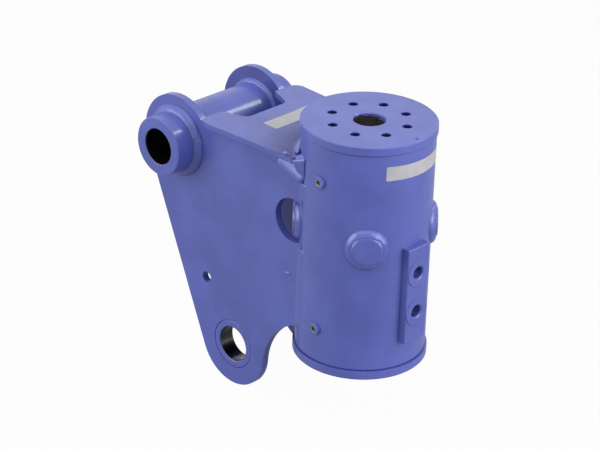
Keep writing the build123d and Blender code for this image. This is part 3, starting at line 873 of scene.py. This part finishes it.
def bead_section(centre, along, across, turn):
    """Oval outline of a bead's section, in a plane square to Z before its turn."""
    deselect_all()
    points = bpy.context.scene.rotator_weld.section_points
    bpy.ops.mesh.primitive_circle_add(vertices=points, radius=1, location=(0, 0, 0))
    section = bpy.context.object
    section.scale = (along, across, 1)
    settle(section)
    section.matrix_world = Matrix.Translation(centre) @ turn
    settle(section)
    return section


def roughen(piece, height, size=9 * MM):
    """Raise soft lumps over a bead."""
    texture = bpy.data.textures.new("weld_lumps", "CLOUDS")
    texture.noise_scale = size
    texture.noise_depth = 1
    apply_modifier(
        piece,
        "DISPLACE",
        texture=texture,
        strength=height,
        mid_level=0.5,
        texture_coords="LOCAL",
    )


def spun_bead(section, centre, axis, angle, steps):
    """Bead made by spinning its section round an axis."""
    make_active(section)
    bpy.ops.object.mode_set(mode="EDIT")
    bpy.ops.mesh.select_all(action="SELECT")
    if angle < 2 * pi - 0.01:
        bpy.ops.mesh.edge_face_add()
    bpy.ops.mesh.spin(steps=steps, angle=angle, center=centre, axis=axis)
    bpy.ops.mesh.select_all(action="SELECT")
    bpy.ops.mesh.fill_holes(sides=0)
    bpy.ops.object.mode_set(mode="OBJECT")
    tidy_mesh(section)
    return section


def round_pivot(face_y, leg, outward):
    """Bead round the pivot tube against one face of a side plate."""
    full_leg = 7 * MM
    crown = bpy.context.scene.rotator_weld.crown * min(1, leg / full_leg)
    inset = leg * 0.5 - crown * 0.35
    centre = Vector((PIVOT.x + TUBE_R + inset, face_y + outward * inset, PIVOT.z))
    turn = Matrix.Rotation(-outward * pi / 4, 4, "Z")
    section = bead_section(centre, leg * 0.76, crown, turn)
    return spun_bead(section, (PIVOT.x, 0, PIVOT.z), (0, 1, 0), 2 * pi, 180)


class ROTATOR_OT_pivot_beads(bpy.types.Operator):
    """Weld the pivot tube to both heads, outside and inside"""

    bl_idname = "rotator.pivot_beads"
    bl_label = "Pivot welds"

    def execute(self, context):
        """Make the two rings of one head, and copy them to the other."""
        weld = context.scene.rotator_weld
        outer = round_pivot(-PLATE_OUTER, weld.pivot_outer_leg, -1)
        inner = round_pivot(-PLATE_INNER, weld.pivot_inner_leg, 1)
        beads = join(with_mirrored([outer, inner]), "pivot_beads")
        roughen(beads, weld.lump)
        ripple = ring_ripple((PIVOT.x, 0, PIVOT.z), (pi / 2, 0, 0), 90)
        complete(beads, enamel("enamel_pivot_weld", ripple=ripple, lumps=0.15 * MM))
        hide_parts("pivot_welds")
        return {"FINISHED"}


def wrap_on_housing(piece, angle):
    """Bend a flat piece round the housing and turn it to its place.

    The flat piece stands in the XZ plane and faces -Y, with X as the length of arc.
    """
    settle(piece)
    width = piece.dimensions.x
    apply_modifier(
        piece, "SIMPLE_DEFORM", deform_method="BEND", deform_axis="Z", angle=width / HOUSING_R
    )
    turn = Matrix.Rotation(radians(angle + 90), 4, "Z")
    piece.matrix_world = turn @ Matrix.Translation((0, -HOUSING_R, 0))
    settle(piece)


class ROTATOR_OT_pin_beads(bpy.types.Operator):
    """Weld the four ring gear pins to the housing"""

    bl_idname = "rotator.pin_beads"
    bl_label = "Pin welds"

    def execute(self, context):
        """Make one saddle-shaped ring and copy it round the housing."""
        weld = context.scene.rotator_weld
        upright = Matrix.Rotation(pi / 2, 4, "X")
        section = bead_section(ORIGIN, 5.2 * MM, 2.4 * MM, upright)
        lean = Matrix.Rotation(radians(PIN_WELD_LEAN), 4, "Y")
        section.matrix_world = Matrix.Translation((PIN_WELD_R, 0, PIN_WELD_LIFT)) @ lean
        settle(section)
        ring = spun_bead(section, ORIGIN, (0, 0, 1), 2 * pi, 96)
        ring.matrix_world = Matrix.Translation((0, 0, PIN_HEIGHT)) @ upright
        settle(ring)
        wrap_on_housing(ring, PIN_ANGLES[0])
        turns = [radians(angle - PIN_ANGLES[0]) for angle in PIN_ANGLES[1:]]
        rings = [ring, *(copy_moved(ring, Matrix.Rotation(turn, 4, "Z")) for turn in turns)]
        beads = join(rings, "pin_beads")
        roughen(beads, weld.lump * 1.4, 8 * MM)
        complete(beads, enamel("enamel_pin_weld", lumps=0.3 * MM, edge=2.5 * MM))
        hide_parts("pin_welds")
        return {"FINISHED"}


def runs_along(piece, edge, least):
    """Whether an edge rises by more than this."""
    low, high = (piece.data.vertices[number].co.z for number in edge.vertices)
    return abs(high - low) > least


def straight_bead(start, end, half_width, half_depth, facing, narrowing=1.0, cuts=40):
    """Bead with rounded ends that runs from start to end, and faces one way."""
    deselect_all()
    points = bpy.context.scene.rotator_weld.section_points
    start, end, facing = Vector(start), Vector(end), Vector(facing).normalized()
    length = (end - start).length
    bpy.ops.mesh.primitive_cylinder_add(
        vertices=points, radius=1, depth=1, end_fill_type="NGON", location=(0, 0, 0)
    )
    bead = bpy.context.object
    bead.scale = (half_width, half_depth, length)
    settle(bead)
    edit_selected(bead, "edges", lambda edge: runs_along(bead, edge, length / 2))
    bpy.ops.mesh.subdivide(number_cuts=cuts)
    bpy.ops.object.mode_set(mode="OBJECT")
    taper = min(4 * MM, length / 4)
    pitch = length / (cuts + 1)
    for step in range(cuts + 2):
        height = step * pitch - length / 2
        slim = 1 + (narrowing - 1) * step / (cuts + 1)
        to_end = min(1, (length / 2 - abs(height)) / taper)
        narrow = sqrt(max(0.08, 1 - (1 - to_end) ** 2))
        if slim * narrow < 1:
            resize_points(
                bead,
                lambda point: abs(point.co.z - height) < pitch / 4,
                (slim * narrow, narrow, 1),
                (0, 0, height),
            )
    direction = (end - start).normalized()
    across = facing.cross(direction).normalized()
    out = direction.cross(across)
    lay = Matrix((across, out, direction)).transposed().to_4x4()
    bead.matrix_world = Matrix.Translation((start + end) / 2) @ lay
    settle(bead)
    tidy_mesh(bead)
    return bead


def corner_lump():
    """Weld metal between the top plate's front corner, the slope and the housing."""
    deselect_all()
    bpy.ops.mesh.primitive_cube_add(size=2)
    lump = bpy.context.object
    places = []
    for vertex in lump.data.vertices:
        corners = LUMP_NEAR if vertex.co.y < 0 else LUMP_FAR
        places.append(corners[(vertex.co.x > 0) + 2 * (vertex.co.z < 0)])
    for number, place in enumerate(places):
        move_point(lump, number, Vector(place) * MM)
    edit_selected(lump, "edges", lambda edge: True)
    bpy.ops.mesh.bevel(offset=1.5 * MM, segments=3, affect="EDGES")
    bpy.ops.mesh.subdivide(number_cuts=3)
    bpy.ops.object.mode_set(mode="OBJECT")
    tidy_mesh(lump)
    return lump


def outer_seams():
    """Nearly flush seams between the housing and the outside of a side plate."""
    corner_x = -sqrt(HOUSING_R**2 - PLATE_OUTER**2)
    place = (corner_x + 0.5 * MM, -PLATE_OUTER - 0.9 * MM)
    return [
        straight_bead((*place, low), (*place, high), 8 * MM, 0.8 * MM, (-0.21, -0.98, 0))
        for low, high in OUTER_SEAM_RUNS
    ]


def inner_seams():
    """Fillet welds between the housing and the inside of a side plate."""
    inner_x = -sqrt(HOUSING_R**2 - PLATE_INNER**2)
    place = (inner_x - 5.2 * MM, -PLATE_INNER + 1.9 * MM)
    return [
        straight_bead((*place, low), (*place, high), 3.4 * MM, 1.6 * MM, (-1, 1, 0))
        for low, high in INNER_SEAM_RUNS
    ]


def roof_fillet():
    """Fillet weld between the top plate's lower face and a side plate."""
    leg = 4.5 * MM
    place = (-PLATE_OUTER - leg / 2, ROOF_BOTTOM - leg / 2)
    start, end = (-168 * MM, *place), (-96 * MM, *place)
    return straight_bead(start, end, leg * 0.72, 1.1 * MM, (0, -1, -1))


def roof_fill():
    """Ground weld that fills the step below the top plate near the housing."""
    place = (-PLATE_OUTER - 2.1 * MM, ROOF_BOTTOM - 1.5 * MM)
    start, end = (-108 * MM, *place), (-62 * MM, *place)
    return straight_bead(start, end, 6.2 * MM, 1.4 * MM, (0, -1, -0.12))


def slope():
    """Flat weld that slopes down from the top plate's edge to the housing."""
    start = (-62 * MM, -65.6 * MM, 224.6 * MM)
    end = (-28.5 * MM, -64.2 * MM, 208.6 * MM)
    return straight_bead(start, end, 9.4 * MM, 1.5 * MM, (0.1, -0.95, 0.25), narrowing=0.74)


def drip():
    """Small run of weld metal on the -Y side plate."""
    start = (-53 * MM, -PLATE_OUTER, 91.4 * MM)
    end = (-45 * MM, -PLATE_OUTER, 92.8 * MM)
    return straight_bead(start, end, 1.7 * MM, 1.3 * MM, (0, -1, 0), cuts=8)


def collar():
    """Fillet weld on the top plate round the back of the housing, thin at both ends."""
    leg = 6 * MM
    reach = radians(53)
    taper = radians(7)
    steps = 86
    centre = Vector((HOUSING_R + leg / 2, 0, ROOF_TOP + leg / 2))
    stand = Matrix.Rotation(pi / 4, 4, "Y") @ Matrix.Rotation(pi / 2, 4, "X")
    section = bead_section(centre, leg * 0.75, 1.5 * MM, stand)
    bead = spun_bead(section, ORIGIN, (0, 0, 1), 2 * reach, steps)
    bead.matrix_world = Matrix.Rotation(pi + reach, 4, "Z")
    settle(bead)
    pitch = 2 * reach / steps
    for side in (-1, 1):
        for step in range(int(taper / pitch) + 1):
            turned = reach - step * pitch
            thin = sqrt(max(0.1, step * pitch / taper))
            core = (-centre.x * cos(turned), side * centre.x * sin(turned), centre.z)
            resize_points(
                bead,
                lambda point: abs(atan2(side * point.co.y, -point.co.x) - turned) < pitch / 4,
                (thin, thin, thin),
                core,
            )
    return bead


class ROTATOR_OT_bracket_beads(bpy.types.Operator):
    """Weld the top plate and the side plates"""

    bl_idname = "rotator.bracket_beads"
    bl_label = "Bracket welds"

    def execute(self, context):
        """Make the welds of the -Y side, copy them, and add the drip and the collar."""
        weld = context.scene.rotator_weld
        seams = with_mirrored([*outer_seams(), roof_fill()])
        rough = with_mirrored([*inner_seams(), roof_fillet(), corner_lump()])
        slopes = join(with_mirrored([slope()]), "slope_beads")
        roughen(slopes, weld.lump * 0.5, 12 * MM)
        # Painted light: the slope weld's enamel is 12 percent lighter, for the light that band
        # catches
        complete(slopes, enamel("enamel_slope_weld", lumps=0.1 * MM, tone=1.12))
        seams = join(seams, "seams")
        roughen(seams, weld.lump * 0.4, 12 * MM)
        rough = join([*rough, drip(), collar()], "rough_beads")
        roughen(rough, weld.lump, 10 * MM)
        joined = join([seams, rough], "bracket_beads")
        complete(joined, enamel("enamel_bracket_weld", lumps=0.2 * MM))
        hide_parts("bracket_welds")
        return {"FINISHED"}


# Labels


def label_sheet(width, height, columns, rows):
    """Flat sheet with rounded corners in the XY plane."""
    deselect_all()
    bpy.ops.mesh.primitive_grid_add(x_subdivisions=columns, y_subdivisions=rows, size=1)
    sheet = bpy.context.object
    sheet.scale = (width, height, 1)
    settle(sheet)
    rim = Vector((width / 2, height / 2))
    edit_selected(
        sheet,
        "vertices",
        lambda point: (rim - Vector((abs(point.co.x), abs(point.co.y)))).length < MERGE_GAP,
    )
    bpy.ops.mesh.bevel(offset=1.0 * MM, segments=3, affect="VERTICES")
    bpy.ops.object.mode_set(mode="OBJECT")
    return sheet


class ROTATOR_OT_labels(bpy.types.Operator):
    """Stick the two blank labels on the housing and the top plate"""

    bl_idname = "rotator.labels"
    bl_label = "Blank labels"

    def execute(self, context):
        """Make both labels."""
        settings = context.scene.rotator_label
        film = label_film("label_film")
        band = label_sheet(settings.length, settings.height, 60, 8)
        upright = Matrix.Rotation(pi / 2, 4, "X")
        tilt = Matrix.Rotation(radians(LABEL_SLOPE), 4, "Y")
        lift = Matrix.Translation((0, -0.08 * MM, LABEL_HEIGHT))
        band.matrix_world = lift @ tilt @ upright
        settle(band)
        apply_modifier(band, "SOLIDIFY", thickness=settings.thickness, offset=0)
        wrap_on_housing(band, LABEL_ANGLE)
        band.name = "housing_label"
        complete(band, film)

        tag = label_sheet(settings.tag_length, settings.tag_width, 44, 12)
        place = Matrix.Translation((*TAG_PLACE, ROOF_TOP + 0.12 * MM))
        tag.matrix_world = place @ Matrix.Rotation(pi / 2, 4, "Z")
        settle(tag)
        for vertex in tag.data.vertices:
            past = max(0.0, vertex.co.y - TAG_LIFT_Y[0]) / TAG_LIFT_Y[1]
            lean = max(0.0, vertex.co.x - TAG_LIFT_X[0]) / TAG_LIFT_X[1]
            vertex.co.z += settings.tag_lift * past**2 * (0.35 + 0.65 * lean)
        apply_modifier(tag, "SOLIDIFY", thickness=settings.thickness, offset=0)
        tag.name = "top_label"
        complete(tag, film)
        return {"FINISHED"}


# Studio


class ROTATOR_OT_stage(bpy.types.Operator):
    """Set up the floor, the lights, the world and the camera"""

    bl_idname = "rotator.stage"
    bl_label = "Studio"

    def execute(self, context):
        """Build the studio round the object."""
        settings = context.scene.rotator_stage
        deselect_all()
        bpy.ops.mesh.primitive_plane_add(size=FLOOR_WIDTH, location=(0, 0, FLOOR_Z))
        floor = bpy.context.object
        floor.name = "floor"
        settle(floor)
        floor.data.materials.append(self.floor_material())
        self.world(context, settings)
        for name, place, aim, size, power, gleam_only in LIGHTS:
            self.area(name, place, aim, size, getattr(settings, power), gleam_only)
        self.camera(context, settings)
        context.scene.view_settings.view_transform = "Standard"
        return {"FINISHED"}

    def floor_material(self):
        """Pale floor that looks white to the camera and keeps the shadow."""
        shader = Shader("studio_floor")
        shader.set("Base Color", (FLOOR_SHADE, FLOOR_SHADE, FLOOR_SHADE, 1))
        shader.set("Roughness", 0.9)
        path = shader.node("ShaderNodeLightPath").outputs
        mirrored = shader.either(path["Is Glossy Ray"], path["Is Transmission Ray"])
        seen = shader.either(path["Is Camera Ray"], shader.both(mirrored, FLOOR_MIRRORED))
        glow = shader.node("ShaderNodeEmission", {"Color": (1, 1, 1, 1), "Strength": 1.0})
        share = shader.both(seen, FLOOR_GLOW)
        mixed = shader.node("ShaderNodeMixShader", {0: share})
        shader.link(shader.surface.outputs["BSDF"], mixed.inputs[1])
        shader.link(glow.outputs[0], mixed.inputs[2])
        output = next(node for node in shader.tree.nodes if node.type == "OUTPUT_MATERIAL")
        shader.link(mixed.outputs[0], output.inputs["Surface"])
        return shader.material

    def world(self, context, settings):
        """Even light, and a white background for the camera and reflections."""
        world = bpy.data.worlds.new("studio")
        context.scene.world = world
        world.use_nodes = True
        tree = world.node_tree
        background = tree.nodes["Background"]
        background.inputs["Color"].default_value = (1, 1, 1, 1)
        path = tree.nodes.new("ShaderNodeLightPath")
        level = tree.nodes.new("ShaderNodeMix")
        level.data_type = "FLOAT"
        level.inputs[2].default_value = settings.world_level
        level.inputs[3].default_value = 1.0
        seen = path.outputs["Is Camera Ray"]
        for ray in ("Is Glossy Ray", "Is Transmission Ray"):
            either = tree.nodes.new("ShaderNodeMath")
            either.operation = "MAXIMUM"
            tree.links.new(seen, either.inputs[0])
            tree.links.new(path.outputs[ray], either.inputs[1])
            seen = either.outputs[0]
        tree.links.new(seen, level.inputs[0])
        tree.links.new(level.outputs[0], background.inputs["Strength"])

    def area(self, name, place, aim, size, power, gleam_only):
        """Square soft light that faces a point."""
        lamp = bpy.data.lights.new(name, "AREA")
        lamp.energy = power
        lamp.size = size
        light = bpy.data.objects.new(name, lamp)
        bpy.context.scene.collection.objects.link(light)
        light.location = place
        towards = Vector(aim) - Vector(place)
        light.rotation_euler = towards.to_track_quat("-Z", "Y").to_euler()
        light.visible_camera = False
        light.visible_diffuse = not gleam_only

    def camera(self, context, settings):
        """Camera where the photograph was taken from."""
        data = bpy.data.cameras.new("camera")
        data.lens = settings.lens
        data.sensor_width = SENSOR_WIDTH
        data.clip_end = CLIP_END
        camera = bpy.data.objects.new("camera", data)
        context.scene.collection.objects.link(camera)
        right = Vector(CAMERA_RIGHT).normalized()
        back = Vector(CAMERA_BACK).normalized()
        up = back.cross(right)
        turn = Matrix((right, up, back)).transposed().to_4x4()
        camera.matrix_world = Matrix.Translation(CAMERA_PLACE) @ turn
        context.scene.camera = camera


class ROTATOR_PT_panel(bpy.types.Panel):
    """Steps that dress the rotator"""

    bl_idname = "ROTATOR_PT_panel"
    bl_label = "Platform rotator"
    bl_space_type = "VIEW_3D"
    bl_region_type = "UI"
    bl_category = "Rotator"

    def draw(self, context):
        """List the steps and the settings."""
        for step in STEPS:
            self.layout.operator(step.bl_idname)
        for group in GROUPS.values():
            settings = getattr(context.scene, group)
            for name in settings.bl_rna.properties.keys():
                if name not in ("rna_type", "name"):
                    self.layout.prop(settings, name)


GROUPS = {
    PaintSettings: "rotator_paint",
    WeldSettings: "rotator_weld",
    LabelSettings: "rotator_label",
    StageSettings: "rotator_stage",
}
STEPS = (
    ROTATOR_OT_finishes,
    ROTATOR_OT_pivot_beads,
    ROTATOR_OT_pin_beads,
    ROTATOR_OT_bracket_beads,
    ROTATOR_OT_labels,
    ROTATOR_OT_stage,
)


def register():
    """Make the settings, steps and panel known to Blender."""
    for group, name in GROUPS.items():
        bpy.utils.register_class(group)
        setattr(bpy.types.Scene, name, PointerProperty(type=group))
    for step in STEPS:
        bpy.utils.register_class(step)
    bpy.utils.register_class(ROTATOR_PT_panel)


def unregister():
    """Take the settings, steps and panel away again."""
    bpy.utils.unregister_class(ROTATOR_PT_panel)
    for step in reversed(STEPS):
        bpy.utils.unregister_class(step)
    for group, name in GROUPS.items():
        delattr(bpy.types.Scene, name)
        bpy.utils.unregister_class(group)


def main():
    """Dress the part step by step."""
    register()
    bpy.ops.rotator.finishes()
    bpy.ops.rotator.pivot_beads()
    bpy.ops.rotator.pin_beads()
    bpy.ops.rotator.bracket_beads()
    bpy.ops.rotator.labels()
    bpy.ops.rotator.stage()


if __name__ == "__main__":
    main()
